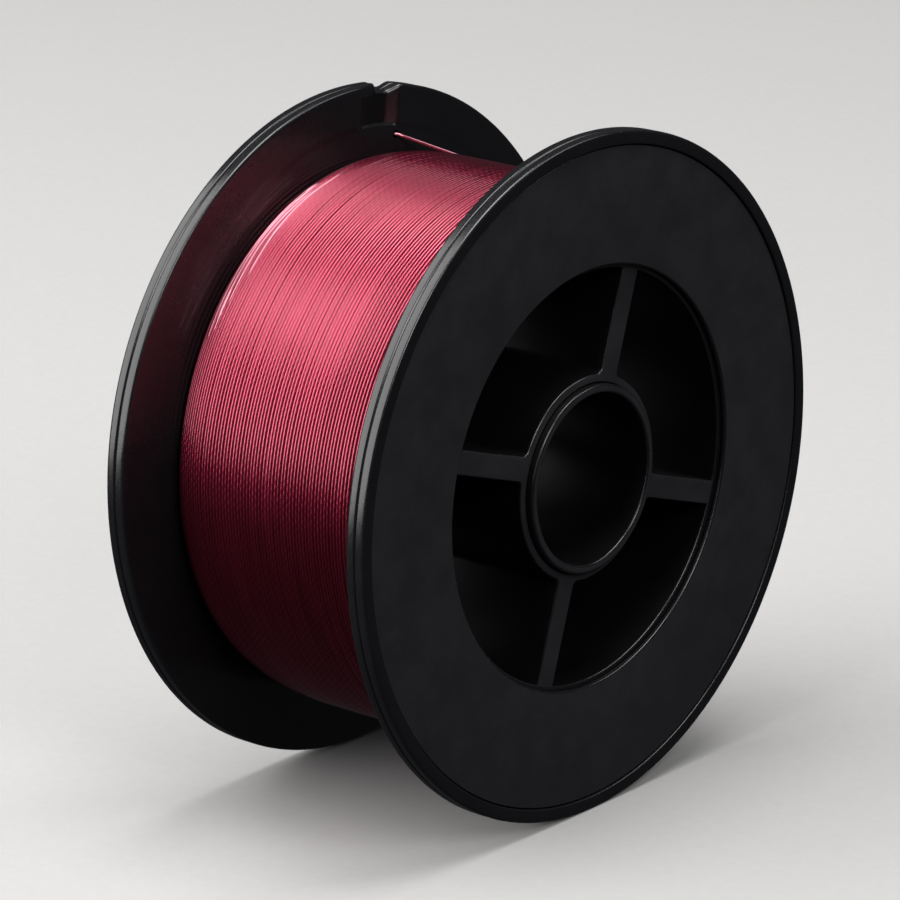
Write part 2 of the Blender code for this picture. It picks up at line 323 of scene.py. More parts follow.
def drawnNylon(name, deep, bright):
    # Dyed nylon drawn into a fine line. Light enters a strand, turns back at its far side
    # and leaves tinted, so the winding has the sheen of satin thread under a clear gloss.
    # The wave along a strand shows only on pieces that carry a "turn" attribute; its crests are painted
    # lighter, as a highlight.
    s = nylonSizes
    material, tree, shader, place = startMaterial(name)
    squeezed = addNode(tree, "ShaderNodeMapping", {"Vector": place})
    squeezed.inputs["Scale"].default_value = s["bandStretch"]
    bands = addNode(tree, "ShaderNodeTexNoise", {"Vector": squeezed.outputs["Vector"]},
                    {"Scale": 1 / s["bandSpacing"], "Detail": 4.0, "Roughness": 0.75})
    turn = addNode(tree, "ShaderNodeAttribute", attribute_name="turn")
    phase = addNode(tree, "ShaderNodeMath", {0: turn.outputs["Fac"]},
                    {1: s["wavesPerTurn"] * math.tau}, operation="MULTIPLY")
    wave = addNode(tree, "ShaderNodeMath", {0: phase.outputs[0]}, operation="SINE")
    # painted highlight: the wave's crests lighten the colour, on top of the random bands
    bandsAndCrestHighlight = addNode(tree, "ShaderNodeMath", {0: wave.outputs[0], 2: bands.outputs["Fac"]},
                  {1: s["crestHighlight"]}, operation="MULTIPLY_ADD")
    share = addNode(tree, "ShaderNodeMapRange", {"Value": bandsAndCrestHighlight.outputs[0]},
                    {"From Min": s["bandTint"][0], "From Max": s["bandTint"][1]})
    tint = addNode(tree, "ShaderNodeMix", {"Factor": share.outputs["Result"]},
                   {firstColour: linearColour(deep), secondColour: linearColour(bright)},
                   data_type="RGBA")
    bump = addNode(tree, "ShaderNodeBump", {"Height": wave.outputs[0]},
                   {"Strength": 1.0, "Distance": s["waveDepth"] / 2})
    tree.links.new(tint.outputs[mixedColour], shader.inputs["Base Color"])
    tree.links.new(bump.outputs["Normal"], shader.inputs["Normal"])
    shader.inputs["Roughness"].default_value = s["roughness"]
    shader.inputs["IOR"].default_value = s["ior"]
    shader.inputs["Metallic"].default_value = s["glow"]
    shader.inputs["Coat Weight"].default_value = s["coatWeight"]
    shader.inputs["Coat Roughness"].default_value = s["coatRoughness"]
    shader.inputs["Coat IOR"].default_value = s["ior"]
    return material


boardSizes = {
    "colour": "#9d9c9b",
    "paleColour": "#a2a1a0",
    "fleckSpacing": 1.2 * mm,
    "roughness": 0.8,
}


def paintedBoard():
    # Matt painted board: even, with a very faint fleck.
    s = boardSizes
    material, tree, shader, place = startMaterial("matt painted board")
    fleck = addNode(tree, "ShaderNodeTexNoise", {"Vector": place},
                    {"Scale": 1 / s["fleckSpacing"], "Detail": 2.0})
    tint = addNode(tree, "ShaderNodeMix", {"Factor": fleck.outputs["Fac"]},
                   {firstColour: linearColour(s["colour"]), secondColour: linearColour(s["paleColour"])},
                   data_type="RGBA")
    tree.links.new(tint.outputs[mixedColour], shader.inputs["Base Color"])
    shader.inputs["Roughness"].default_value = s["roughness"]
    return material


glossBlack = mouldedStyrene("moulded black styrene, polished tool", glossSizes)
# painted shade: the darker black for the pockets, the notch's channel and the sleeve's bore
dullShadedBlack = mouldedStyrene("moulded black styrene, unpolished, painted pocket shade", dullShadedSizes)
satinBlack = sparkErodedStyrene()
crimsonNylon = drawnNylon("drawn nylon monofilament, dyed crimson", nylonSizes["deep"],
                          nylonSizes["bright"])
# painted highlight: a paler copy of the nylon for the tail and the loose strands, standing in for their shine
highlightPaintedNylon = drawnNylon("drawn nylon monofilament, single strand", nylonSizes["litStrandDeep"],
                        nylonSizes["litStrandBright"])
print("materials ready")


# The two halves: a flange, half of the drum, and the boss with its webs.

halfSizes = {
    "flangeThickness": 2.5 * mm,
    "rimFillet": 0.38 * mm,
    "grooveWidth": 0.34 * mm,     # moulded line round the middle of the rim
    "grooveDepth": 0.22 * mm,
    "grooveLipFillet": 0.1 * mm,
    "grooveRootFillet": 0.04 * mm,
    "beadWidth": 1.6 * mm,
    "beadFillet": 0.18 * mm,
    "recessDepth": 1.05 * mm,
    "recessFillet": 0.08 * mm,
    "drumOuter": 25.5 * mm,
    "drumBore": 24.2 * mm,
    "drumRootFillet": 0.25 * mm,
    "drumMouthFillet": 0.25 * mm,
    "halfSeam": 0.04 * mm,        # hairline where the two halves meet
    "seamFillet": 0.02 * mm,
    "turns": 320,
}

notchSizes = {
    "angle": 7.7,                 # degrees from the top, towards +X
    "floorWidth": 1.8 * mm,
    "leftRun": 3.4 * mm,          # gentle side
    "rightRun": 1.4 * mm,         # steep side
    "depth": 0.9 * mm,
    "foot": 35.2 * mm,            # where the notch starts, measured from the bore's axis
    "footRun": 0.2 * mm,
    "floorBlend": 0.12,           # rounding where the floor meets the sides, as a share of a side
    "edgeBlend": 0.1,             # rounding at the top of the sides
    "taper": 1.15,                # how fast the sink dies out through the flange
    "dipDepth": 1.1 * mm,         # how far the rim dips in line with the notch
    "dipStart": -1.15 * mm,       # the dip's steep side, measured across
    "dipStartBlend": 0.9 * mm,
    "dipEnd": 1.75 * mm,          # its gentle side
    "dipEndBlend": 2.0 * mm,
    "dipBand": 2.4 * mm,          # the dip's reach in from the rim
    "dipBandBlend": 1.2 * mm,
    "dipAtFace": 0.55,            # share of the dip's depth at the outer face
    "dullShadeEdge": 1.2 * mm,       # the channel's dull finish and painted shade stop this far below rim and face
    "span": 9.0,                  # degrees either side that get a fine grid
    "gridStep": 0.5 * mm,         # the same grid, along the section
    "fineAngles": 60,
    "coarseAngles": 300,
}

tailSizes = {
    "diameter": 0.4 * mm,
    "holeDistance": 34.1 * mm,
    "holeAngle": 11.57,           # degrees from the top, towards +X
    "holeRadius": 0.5 * mm,
    "holeStart": 4 * mm,          # the cut runs from this far inside the outer face
    "holeEnd": 1 * mm,            # to this far outside it
    "leavesAt": 12.0 * mm,        # where the line leaves the winding, along the bore
    "drift": 0.06 * mm,           # how far it moves along the winding in each degree before that
    "cornerGap": 0.35 * mm,       # its last open point, short of the flange
}

knotSizes = {
    "angle": 31.9,                # degrees from the top, towards +X
    "along": -8.375 * mm,
    "holeRadius": 0.5 * mm,
    "holeStart": 22 * mm,         # from the bore's axis, through the drum's wall
    "holeEnd": 27 * mm,
    "distance": 23.1 * mm,        # of the knot's middle from the bore's axis
    "loop": 0.3 * mm,
    "depth": 1.3,                 # the knot's depth as a share of its loop
    "gap": 0.45,                  # radians of the trefoil left open at each end
    "lineRadius": 0.17 * mm,
}

webSizes = {
    "count": 4,
    "lean": 17.9,                 # degrees from the top, towards +X
    "thickness": 2.9 * mm,
    "depthBelowFace": 1.12 * mm,
    "edge": 0.22 * mm,
    "bossOuter": 12.05 * mm,
    "bossBore": 11.1 * mm,
    "boreChamfer": 0.08 * mm,
    "flare": 0.7 * mm,            # at the root of each web
    "flareAngle": 0.09,           # radians of boss left to each flare
    "arcPoints": 20,
    "tipInDrum": 0.53 * mm,       # how far a web's tip is sunk into the drum
    "seamGap": 0.05 * mm,         # the underside stays this far above the seam
}

finishSizes = {
    "faceBand": 2 * mm,           # the grained tops lie this near the outer face
    "wallReach": 0.02 * mm,       # takes in the drum's own wall
    "uprightNormal": 0.2,         # a wall's normal runs less than this much along the bore
}


def softStep(value, softness):
    # 0 below, 1 above, and a smooth ramp one softness wide about zero
    t = np.clip(value / softness + 0.5, 0, 1)
    return t * t * (3 - 2 * t)


def softFloor(value, softness):
    # close to the larger of the value and zero, with the corner between them rounded
    return 0.5 * (value + np.sqrt(value ** 2 + softness ** 2)) - 0.5 * softness


def notchShape(across):
    # Share of the notch's full depth at a distance across it: a level floor,
    # a gentle side towards -X and a steep side towards +X, with rounded edges.
    s = notchSizes
    left = (-s["floorWidth"] / 2 - across) / s["leftRun"]
    right = (across - s["floorWidth"] / 2) / s["rightRun"]
    rise = softFloor(np.maximum(left, right), s["floorBlend"])
    return softFloor(1 - rise, s["edgeBlend"])


def cutNotch(points):
    # Moves grid points of the rear flange: its inner face sinks by the notch's section, less
    # and less through the flange, and the rim dips towards the bore between two soft steps.
    s, h = notchSizes, halfSizes
    lean = math.radians(s["angle"])
    across = points[..., 0] * math.cos(lean) - points[..., 2] * math.sin(lean)
    out = points[..., 0] * math.sin(lean) + points[..., 2] * math.cos(lean)
    near = out > 0
    innerFace = halfWidth - h["flangeThickness"]
    share = notchShape(across) * near
    radius = np.hypot(points[..., 0], points[..., 2])
    started = softStep(radius - s["foot"], s["footRun"])
    thickness = (points[..., 1] - innerFace) / (halfWidth - innerFace)
    sink = s["depth"] * share * started * np.clip(1 - thickness * s["taper"], 0, 1)
    result = points.copy()
    result[..., 1] += sink
    rimBand = softStep(radius - (rimRadius - s["dipBand"]), s["dipBandBlend"])
    inDip = (softStep(across - s["dipStart"], s["dipStartBlend"])
             * softStep(s["dipEnd"] - across, s["dipEndBlend"]))
    throughFlange = s["dipAtFace"] + (1 - s["dipAtFace"]) * np.clip(1 - thickness, 0, 1)
    dip = s["dipDepth"] * inDip * near * rimBand * throughFlange
    result[..., 0] -= dip * math.sin(lean)
    result[..., 2] -= dip * math.cos(lean)
    return result


def flangeProfile():
    # (radius, distance from the middle): rim with its groove, inner face, half drum, recess
    h = halfSizes
    inner = halfWidth - h["flangeThickness"]
    middle = (inner + halfWidth) / 2
    groove, deep = h["grooveWidth"] / 2, h["grooveDepth"]
    recess = halfWidth - h["recessDepth"]
    foot, ledge = notchSizes["foot"], notchSizes["footRun"] / 2
    corners = [
        (rimRadius, halfWidth), (rimRadius, middle + groove), (rimRadius - deep, middle),
        (rimRadius, middle - groove), (rimRadius, inner),
        (foot + ledge, inner), (foot - ledge, inner), (h["drumOuter"], inner),
        (h["drumOuter"], h["halfSeam"] / 2), (h["drumBore"], h["halfSeam"] / 2),
        (h["drumBore"], recess), (rimRadius - h["beadWidth"], recess),
        (rimRadius - h["beadWidth"], halfWidth),
    ]
    fillets = [
        h["rimFillet"], h["grooveLipFillet"], h["grooveRootFillet"],
        h["grooveLipFillet"], h["rimFillet"],
        0, 0, h["drumRootFillet"],
        h["seamFillet"], h["seamFillet"],
        h["drumMouthFillet"], h["recessFillet"],
        h["beadFillet"],
    ]
    return filleted(corners, fillets)


def denser(profile, longest):
    # extra points along the long straight stretches, so that the notch has a grid to sink into
    after = np.roll(profile, -1, 0)
    length = np.linalg.norm(after - profile, axis=1)
    pieces = np.maximum(1, np.ceil(length / longest).astype(int))
    start = np.repeat(np.arange(len(profile)), pieces)
    step = np.arange(pieces.sum()) - np.repeat(np.cumsum(pieces) - pieces, pieces)
    share = (step / np.repeat(pieces, pieces))[:, None]
    return profile[start] * (1 - share) + after[start] * share


def rod(name, start, end, radius, sides=32):
    # a closed cylinder between two points: a circle square to the line at each end
    start, end = np.array(start), np.array(end)
    axis = (end - start) / np.linalg.norm(end - start)
    aside = np.cross(axis, (0.3, 0.5, 0.81))
    aside /= np.linalg.norm(aside)
    other = np.cross(axis, aside)
    a = evenAngles(sides)[:, None]
    circle = radius * (np.cos(a) * aside + np.sin(a) * other)
    points = np.stack([start + circle, end + circle])
    caps = (np.arange(sides), np.arange(2 * sides - 1, sides - 1, -1))
    mesh = newMesh(name, points, gridFaces(2, sides, False, True), caps)
    return newPiece(name, mesh, glossBlack)


def spiderOutline(inset):
    # The boss with its webs seen along the bore, pulled in by an inset: an arc of the boss,
    # out along one side of a web, back along the other, and on, with a flare at each root.
    w, h = webSizes, halfSizes
    half, radius = w["thickness"] / 2 - inset, w["bossOuter"] - inset
    reach = h["drumBore"] + w["tipInDrum"]
    root = math.asin(half / radius)
    tip = math.atan(half / reach)
    tipRadius = math.hypot(half, reach)
    places, radii = [], []
    for i in range(w["count"]):
        lean = math.radians(w["lean"]) + i * math.tau / w["count"]
        arcStart = root + w["flareAngle"]
        arc = np.linspace(arcStart, math.tau / w["count"] - arcStart, w["arcPoints"])
        angles = [-root, -tip, tip, root, *arc]
        distances = [radius, tipRadius, tipRadius, radius] + [radius] * len(arc)
        places += [(r * math.sin(lean + a), r * math.cos(lean + a)) for r, a in zip(distances, angles)]
        radii += [w["flare"], 0, 0, w["flare"]] + [0] * len(arc)
    return filleted(places, radii, 5)


def makeSpider(name, side):
    # The boss and its webs as one solid: rows of the outline from the middle of the spool up
    # over a rounded edge, across the level top to the bore, and back down.
    w, h = webSizes, halfSizes
    low, high = h["halfSeam"] / 2 + w["seamGap"], halfWidth - w["depthBelowFace"]
    edge, chamfer = w["edge"], w["boreChamfer"]
    bend = np.linspace(0, math.pi / 2, 5)
    levels = np.concatenate([[low], high - edge + edge * np.sin(bend)])
    insets = np.concatenate([[0], edge * (1 - np.cos(bend))])
    outer = [np.stack([o[:, 0], 0 * o[:, 0] + side * y, o[:, 1]], 1)
             for o, y in zip([spiderOutline(i) for i in insets], levels)]
    angle = np.arctan2(outer[0][:, 0], outer[0][:, 2])
    boreRows = ((w["bossBore"] + chamfer, high), (w["bossBore"], high - chamfer), (w["bossBore"], low))
    bore = [np.stack([r * np.sin(angle), 0 * angle + side * y, r * np.cos(angle)], 1) for r, y in boreRows]
    points = np.stack(outer + bore)
    mesh = newMesh(name, points, gridFaces(len(points), points.shape[1], True, True))
    return newPiece(name, mesh, glossBlack)


def makeHalf(word, side, angles):
    # The flange and half drum, their section turned round the bore, with the boss and webs
    # joined on. The side is -1 at the front and 1 at the rear, which has the notch.
    profile = flangeProfile()
    if side > 0:
        profile = denser(profile, notchSizes["gridStep"])
    profile = profile * np.array([1, side])
    points = turned(profile, angles)
    if side > 0:
        points = cutNotch(points)
    faces = gridFaces(len(angles), len(profile), True, True)
    half = newPiece(word + "Half", newMesh(word + "Half", points, faces), glossBlack)
    return combined(half, [makeSpider(word + "Spider", side)], "UNION")


def notchedAngles():
    # angles round the rear half: close together across the notch, wider apart elsewhere
    s = notchSizes
    fine = np.radians(np.linspace(s["angle"] - s["span"], s["angle"] + s["span"], s["fineAngles"]))
    rest = np.linspace(0, math.tau - (fine[-1] - fine[0]), s["coarseAngles"])
    return np.concatenate([fine, fine[-1] + rest[1:-1]])


def inNotch(centres):
    # picks the faces of the notch's channel, from its foot out to just under the rim
    s = notchSizes
    lean = math.radians(s["angle"])
    across = centres[:, 0] * math.cos(lean) - centres[:, 2] * math.sin(lean)
    out = centres[:, 0] * math.sin(lean) + centres[:, 2] * math.cos(lean)
    wide = (across > -s["floorWidth"] / 2 - s["leftRun"]) & (across < s["floorWidth"] / 2 + s["rightRun"])
    radius = np.hypot(centres[:, 0], centres[:, 2])
    long = (out > 0) & (radius > s["foot"] - s["footRun"] / 2) & (radius < rimRadius - s["dullShadeEdge"])
    return wide & long & (centres[:, 1] < halfWidth - s["dullShadeEdge"]) & (centres[:, 1] > 0)


def finishHalf(half, node, side):
    # The level top of the boss and webs has the grained finish of the face rings. The pockets
    # between them and the notch are dull, and painted darker as shade; everything else came off polished
    # steel.
    f = finishSizes
    mesh = half.data
    smoothed(mesh)
    normals, centres = faceArrays(mesh)
    inside = np.hypot(centres[:, 0], centres[:, 2]) < halfSizes["drumBore"] + f["wallReach"]
    atFace = centres[:, 1] * side > halfWidth - f["faceBand"]
    ends = inside & (normals[:, 1] * side > levelNormal) & atFace
    walls = inside & (np.abs(normals[:, 1]) < f["uprightNormal"])
    if side > 0:
        walls = walls | inNotch(centres)
    # painted shade: the pocket walls and the notch's channel take the darker black
    dressFaces(mesh, [satinBlack, dullShadedBlack], np.where(ends, 1, np.where(walls, 2, 0)))
    return settle(half, "spool_plastic", node)


def tailHole(name):
    # the cutter for the line's hole through the rear flange, and through its face ring
    t = tailSizes
    angle = math.radians(t["holeAngle"])
    inner = around(t["holeDistance"], angle, halfWidth - t["holeStart"])
    outer = around(t["holeDistance"], angle, halfWidth + t["holeEnd"])
    return rod(name, inner, outer, t["holeRadius"])


def startHole():
    # the cutter for the hole through the drum's wall
    k = knotSizes
    angle = math.radians(k["angle"])
    inner, outer = (around(distance, angle, k["along"]) for distance in (k["holeStart"], k["holeEnd"]))
    return rod("startHole", inner, outer, k["holeRadius"])


frontHalf = makeHalf("front", -1, evenAngles(halfSizes["turns"]))
combined(frontHalf, [startHole()], "DIFFERENCE")
finishHalf(frontHalf, "front_half", -1)

rearHalf = makeHalf("rear", 1, notchedAngles())
combined(rearHalf, [tailHole("tailHole")], "DIFFERENCE")
finishHalf(rearHalf, "rear_half", 1)
print("halves ready", len(frontHalf.data.polygons), len(rearHalf.data.polygons))


# Face rings.

ringSizes = {
    "outer": 38.28 * mm,
    "bore": 24.7 * mm,
    "outerFillet": 0.12 * mm,
    "boreFillet": 0.3 * mm,
    "underFillet": 0.03 * mm,
    "turns": 300,
}


def makeFaceRing(word, side):
    # a rounded rectangle turned round the bore; its level faces are grained, its edges polished
    r = ringSizes
    corners = [(r["outer"], ringTop), (r["outer"], ringBottom), (r["bore"], ringBottom), (r["bore"], ringTop)]
    profile = filleted(corners, [r["outerFillet"], r["underFillet"], r["underFillet"], r["boreFillet"]], 7)
    angles = evenAngles(r["turns"])
    points = turned(profile * np.array([1, side]), angles)
    mesh = newMesh(word + "FaceRing", points, gridFaces(len(angles), len(profile), True, True))
    ring = newPiece(word + "FaceRing", mesh, satinBlack)
    level = np.abs(faceArrays(mesh)[0][:, 1])
    dressFaces(mesh, [glossBlack], level < levelNormal)
    if side > 0:
        combined(ring, [tailHole("ringHole")], "DIFFERENCE")
        smoothed(ring.data)
    return settle(ring, "face_plastic", word + "_face_ring")


makeFaceRing("front", -1)
makeFaceRing("rear", 1)


# Hub sleeve.

sleeveSizes = {
    "outer": 11.0 * mm,
    "bore": 10.0 * mm,
    "lipFillet": 0.32 * mm,
    "wallNormal": 0.1,            # a wall's normal runs less than this much along the bore
    "turns": 200,
}


def makeHubSleeve():
    # a rounded rectangle turned round the bore; polished lips, grained ends, and dull walls painted darker as
    # shade
    s = sleeveSizes
    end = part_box("hub_sleeve")[1].y
    corners = [(s["outer"], end), (s["outer"], -end), (s["bore"], -end), (s["bore"], end)]
    profile = filleted(corners, [s["lipFillet"]] * 4, 8)
    angles = evenAngles(s["turns"])
    mesh = newMesh("hubSleeve", turned(profile, angles), gridFaces(len(angles), len(profile), True, True))
    sleeve = newPiece("hubSleeve", mesh, glossBlack)
    level = np.abs(faceArrays(mesh)[0][:, 1])
    # painted shade: the sleeve's walls take the darker black
    dressFaces(mesh, [dullShadedBlack, satinBlack],
               np.where(level < s["wallNormal"], 1, np.where(level > levelNormal, 2, 0)))
    return settle(sleeve, "spool_plastic", "hub_sleeve")


makeHubSleeve()
print("rings and sleeve ready")


# Winding.

windingSizes = {
    "radius": 33.0 * mm,
    "drumRadius": 25.75 * mm,
    "shoulderWidth": 7.0 * mm,
    "shoulderDrop": 2.3 * mm,
    "lineDiameter": 0.45 * mm,  # a little wider than the loose line, so that the turns touch
    "pitch": 0.46 * mm,
    "pointsPerTurn": 150,
    "lowerPointsPerTurn": 96,
    "sides": 6,
    "lowerDepth": 0.17 * mm,    # the layer below, under the winding's surface
    "coreDepth": 0.27 * mm,     # the solid core, under the winding's surface
    "coreLength": 0.985,        # the core's length as a share of the winding's
    "coreAngles": 180,
    "endGap": 0.6,              # line diameters from the winding's end to the first turn's middle
    "nearestEnd": 0.8,          # share of the end gap that the wander always leaves
    "wander": 0.015 * mm,       # sideways
    "wanderSpacing": 0.21,      # turns from one sideways change to the next
    "lift": 0.02 * mm,          # in and out
    "liftSpacing": 0.13,
    "highest": 0.02 * mm,       # the most that a turn may rise above the layer
    "seed": 7,
    "lowerSeed": 12,
}


def meridian(radius):
    # The winding's outline from end to end: an ellipse quarter up, level, an ellipse quarter down.
    # Returns (along, radius, distance run) as arrays.
    s = windingSizes
    turn = np.linspace(0, math.pi / 2, 60)
    end = windingEnd
    down = end - s["shoulderWidth"] * (1 - np.cos(turn))
    up = radius - s["shoulderDrop"] * (1 - np.sin(turn))
    along = np.concatenate([-down, down[::-1]])
    height = np.concatenate([up, up[::-1]])
    run = np.concatenate([[0], np.cumsum(np.hypot(np.diff(along), np.diff(height)))])
    return along, height, run


def tubeMesh(name, path, radius, sides):
    # A round section carried along a path: each ring stands square to the path's direction,
    # with its first point kept facing the same way as far as the path allows.
    path = np.asarray(path, float)
    forward = np.gradient(path, axis=0)
    forward /= np.linalg.norm(forward, axis=1, keepdims=True)
    outward = path * np.array([1, 0, 1])
    outward -= (outward * forward).sum(1, keepdims=True) * forward
    outward /= np.linalg.norm(outward, axis=1, keepdims=True)
    other = np.cross(forward, outward)
    a = evenAngles(sides)[None, :, None]
    points = path[:, None] + radius * (np.cos(a) * outward[:, None] + np.sin(a) * other[:, None])
    count = len(path) * sides
    caps = (np.arange(sides), np.arange(count - 1, count - sides - 1, -1))
    return newMesh(name, points, gridFaces(len(path), sides, False, True), caps)


def slowNoise(count, spacing, seed):
    # random heights at even steps, joined by smooth curves
    rng = np.random.default_rng(seed)
    knots = rng.normal(size=int(count / spacing) + 4)
    at = np.arange(count) / spacing
    base = at.astype(int)
    t = at - base
    t = t * t * (3 - 2 * t)
    return knots[base] * (1 - t) + knots[base + 1] * t


def markTurns(mesh, turns):
    # how many turns the line has made at each point, for the pattern along the strand
    mesh.attributes.new("turn", "FLOAT", "POINT").data.foreach_set("value", turns.astype(np.float32))


def makeTurns(name, surfaceRadius, direction, pointsPerTurn, seed):
    # One line wound from end to end: the run along the outline grows by a pitch each turn,
    # with a slow wander sideways and in and out.
    s = windingSizes
    along, height, run = meridian(surfaceRadius - s["lineDiameter"] / 2)
    edge = s["lineDiameter"] * s["endGap"]
    turns = int((run[-1] - 2 * edge) / s["pitch"])
    count = turns * pointsPerTurn + 1
    angle = np.arange(count) * math.tau / pointsPerTurn
    travel = edge + (run[-1] - 2 * edge) * np.arange(count) / (count - 1)
    travel = travel + s["wander"] * slowNoise(count, pointsPerTurn * s["wanderSpacing"], seed)
    travel = np.clip(travel, edge * s["nearestEnd"], run[-1] - edge * s["nearestEnd"])
    y = np.interp(travel, run, along) * direction
    lift = s["lift"] * slowNoise(count, pointsPerTurn * s["liftSpacing"], seed + 1)
    r = np.minimum(np.interp(travel, run, height) + lift,
                   surfaceRadius - s["lineDiameter"] / 2 + s["highest"])
    path = np.stack([r * np.sin(angle), y, r * np.cos(angle)], 1)
    mesh = tubeMesh(name, path, s["lineDiameter"] / 2, s["sides"])
    markTurns(mesh, np.repeat(np.arange(count) / pointsPerTurn, s["sides"]))
    return newPiece(name, mesh, crimsonNylon, 180)


def makeWindingCore():
    # the turns below, as one solid: their outline turned round the bore, just under the top layers
    s = windingSizes
    along, height, _ = meridian(s["radius"] - s["coreDepth"])
    everyThird = slice(None, None, 3)
    outline = np.stack([height[everyThird], along[everyThird] * s["coreLength"]], 1)
    bore = [(s["drumRadius"], outline[-1, 1]), (s["drumRadius"], outline[0, 1])]
    profile = np.concatenate([outline, bore])
    angles = evenAngles(s["coreAngles"])
    mesh = newMesh("windingCore", turned(profile, angles), gridFaces(len(angles), len(profile), True, True))
    return newPiece("windingCore", mesh, crimsonNylon)


settle(makeWindingCore(), "nylon_line", "line_winding")
topTurns = makeTurns("windingTopTurns", windingSizes["radius"], 1,
                     windingSizes["pointsPerTurn"], windingSizes["seed"])
lowerTurns = makeTurns("windingLowerTurns", windingSizes["radius"] - windingSizes["lowerDepth"], -1,
                       windingSizes["lowerPointsPerTurn"], windingSizes["lowerSeed"])
for turns in (topTurns, lowerTurns):
    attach(turns, "root")
print("winding ready", len(topTurns.data.polygons), len(lowerTurns.data.polygons))


# The line's two ends, and its slack last turns.

def smoothPath(points, count):
    # Catmull-Rom curve through chosen points, spaced evenly along its length
    p = np.array(points, float)
    p = np.concatenate([[2 * p[0] - p[1]], p, [2 * p[-1] - p[-2]]])
    at = np.linspace(0, len(points) - 1 - 1e-9, count * 4)
    i = at.astype(int)
    t = (at - i)[:, None]
    a, b, c, d = p[i], p[i + 1], p[i + 2], p[i + 3]
    curve = 0.5 * (2 * b + (c - a) * t + (2 * a - 5 * b + 4 * c - d) * t ** 2
                   + (3 * b - a - 3 * c + d) * t ** 3)
    run = np.concatenate([[0], np.cumsum(np.linalg.norm(np.diff(curve, axis=0), axis=1))])
    even = np.linspace(0, run[-1], count)
    return np.stack([np.interp(even, run, curve[:, k]) for k in range(3)], 1)


def makeTail():
    # the line's outer end: off the winding on a tangent, straight to its hole and through it
    t = tailSizes
    r = t["diameter"] / 2
    hole = math.radians(t["holeAngle"])
    foot = windingSizes["radius"]
    footAngle = hole + math.acos(foot / t["holeDistance"])
    innerFace = halfWidth - halfSizes["flangeThickness"]
    lift = around(foot, footAngle, t["leavesAt"])
    corner = around(t["holeDistance"], hole, innerFace - t["cornerGap"])
    under = [(15, 0.6), (12, 0.3), (9, 0.02), (5, -0.05)]      # degrees back, mm below the surface
    points = [around(foot - sunk * mm, footAngle + math.radians(back), t["leavesAt"] - t["drift"] * back)
              for back, sunk in under]
    points += [lift + (corner - lift) * share for share in (0.0, 0.25, 0.5, 0.75, 0.93)]
    points += [around(t["holeDistance"] - 0.02 * mm, hole, innerFace + d * mm) for d in (0.1, 0.8, 1.8, 2.2)]
    tube = tubeMesh("lineTail", smoothPath(points, 90), r, 12)
    # the tail takes the paler nylon, a painted highlight
    return settle(newPiece("lineTail", tube, highlightPaintedNylon, 180), "nylon_line", "line_tail")


def makeStartKnot():
    # the line's inner end: through the drum wall into an overhand knot, which is an open
    # trefoil (sin t + 2 sin 2t, cos t - 2 cos 2t, -depth sin 3t), and a short cut end
    k = knotSizes
    angle = math.radians(k["angle"])
    outwards = around(1.0, angle, 0.0)
    sideways = np.array([math.cos(angle), 0, -math.sin(angle)])
    along = np.array([0.0, 1.0, 0.0])
    centre = around(k["distance"], angle, k["along"])
    t = np.linspace(k["gap"], math.tau - k["gap"], 60)
    loop = (centre + k["loop"] * ((np.sin(t) + 2 * np.sin(2 * t))[:, None] * sideways
                                  + (np.cos(t) - 2 * np.cos(2 * t))[:, None] * along
                                  - k["depth"] * np.sin(3 * t)[:, None] * outwards))
    lead = [around(distance * mm, angle, k["along"]) for distance in (25.4, 24.8, 24.2)]
    cut = [loop[-1] + 0.5 * mm * along, loop[-1] + 1.0 * mm * along - 0.2 * mm * outwards]
    path = smoothPath(np.concatenate([lead, loop[::3], cut]), 160)
    tube = tubeMesh("lineStartKnot", path, k["lineRadius"], 10)
    return settle(newPiece("lineStartKnot", tube, crimsonNylon, 180), "nylon_line", "line_start_knot")


looseSizes = {
    "start": (-68.0, -62.0, -57.0, -50.0),     # degrees from the top, one for each strand
    "finish": (-8.0, -10.0, -14.0, -6.0),
    "fromEnd": (1.5, 2.05, 2.75, 3.6),         # mm in from the rear end of the winding
    "bow": (0.375, 0.4025, 0.4375, 0.48),      # mm that its middle bows towards that end
    "proud": 0.1 * mm,                         # how far a strand's middle stands above a turn's
    "sunk": 0.35 * mm,                         # how far its ends lie below that
    "quickRise": 6,                            # it is up again after a sixth of its run
    "highest": 0.1 * mm,                       # the most that it may rise above the top of the winding
    "thickness": 0.36 * mm,
}


def makeLooseStrands():
    # the last turns, slack along the rear shoulder: each lies proud of the winding between
    # two angles and sinks back into it at both ends
    s, w = looseSizes, windingSizes
    along, height, _ = meridian(w["radius"] - w["lineDiameter"] / 2)
    parts = []
    t = np.linspace(0, 1, 120)
    up = np.minimum(1, s["quickRise"] * np.minimum(t, 1 - t))
    rise = s["proud"] + s["sunk"] * (up - 1)
    strands = zip(s["start"], s["finish"], s["fromEnd"], s["bow"])
    for i, (start, finish, inset, bow) in enumerate(strands, 1):
        angle = np.radians(start + (finish - start) * t)
        y = windingEnd - inset * mm + bow * mm * np.sin(math.pi * t) ** 2
        r = np.minimum(np.interp(y, along, height) + rise,
                       w["radius"] - w["lineDiameter"] / 2 + s["highest"])
        path = np.stack([r * np.sin(angle), y, r * np.cos(angle)], 1)
        name = f"looseStrand{i}"
        # the loose strands take the paler nylon, a painted highlight
        parts.append(newPiece(name, tubeMesh(name, path, s["thickness"] / 2, 10), highlightPaintedNylon, 180))
    return parts


makeTail()
for strand in makeLooseStrands():
    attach(strand, "root")
makeStartKnot()
print("line ends ready")


# Floor, lights, world and camera.

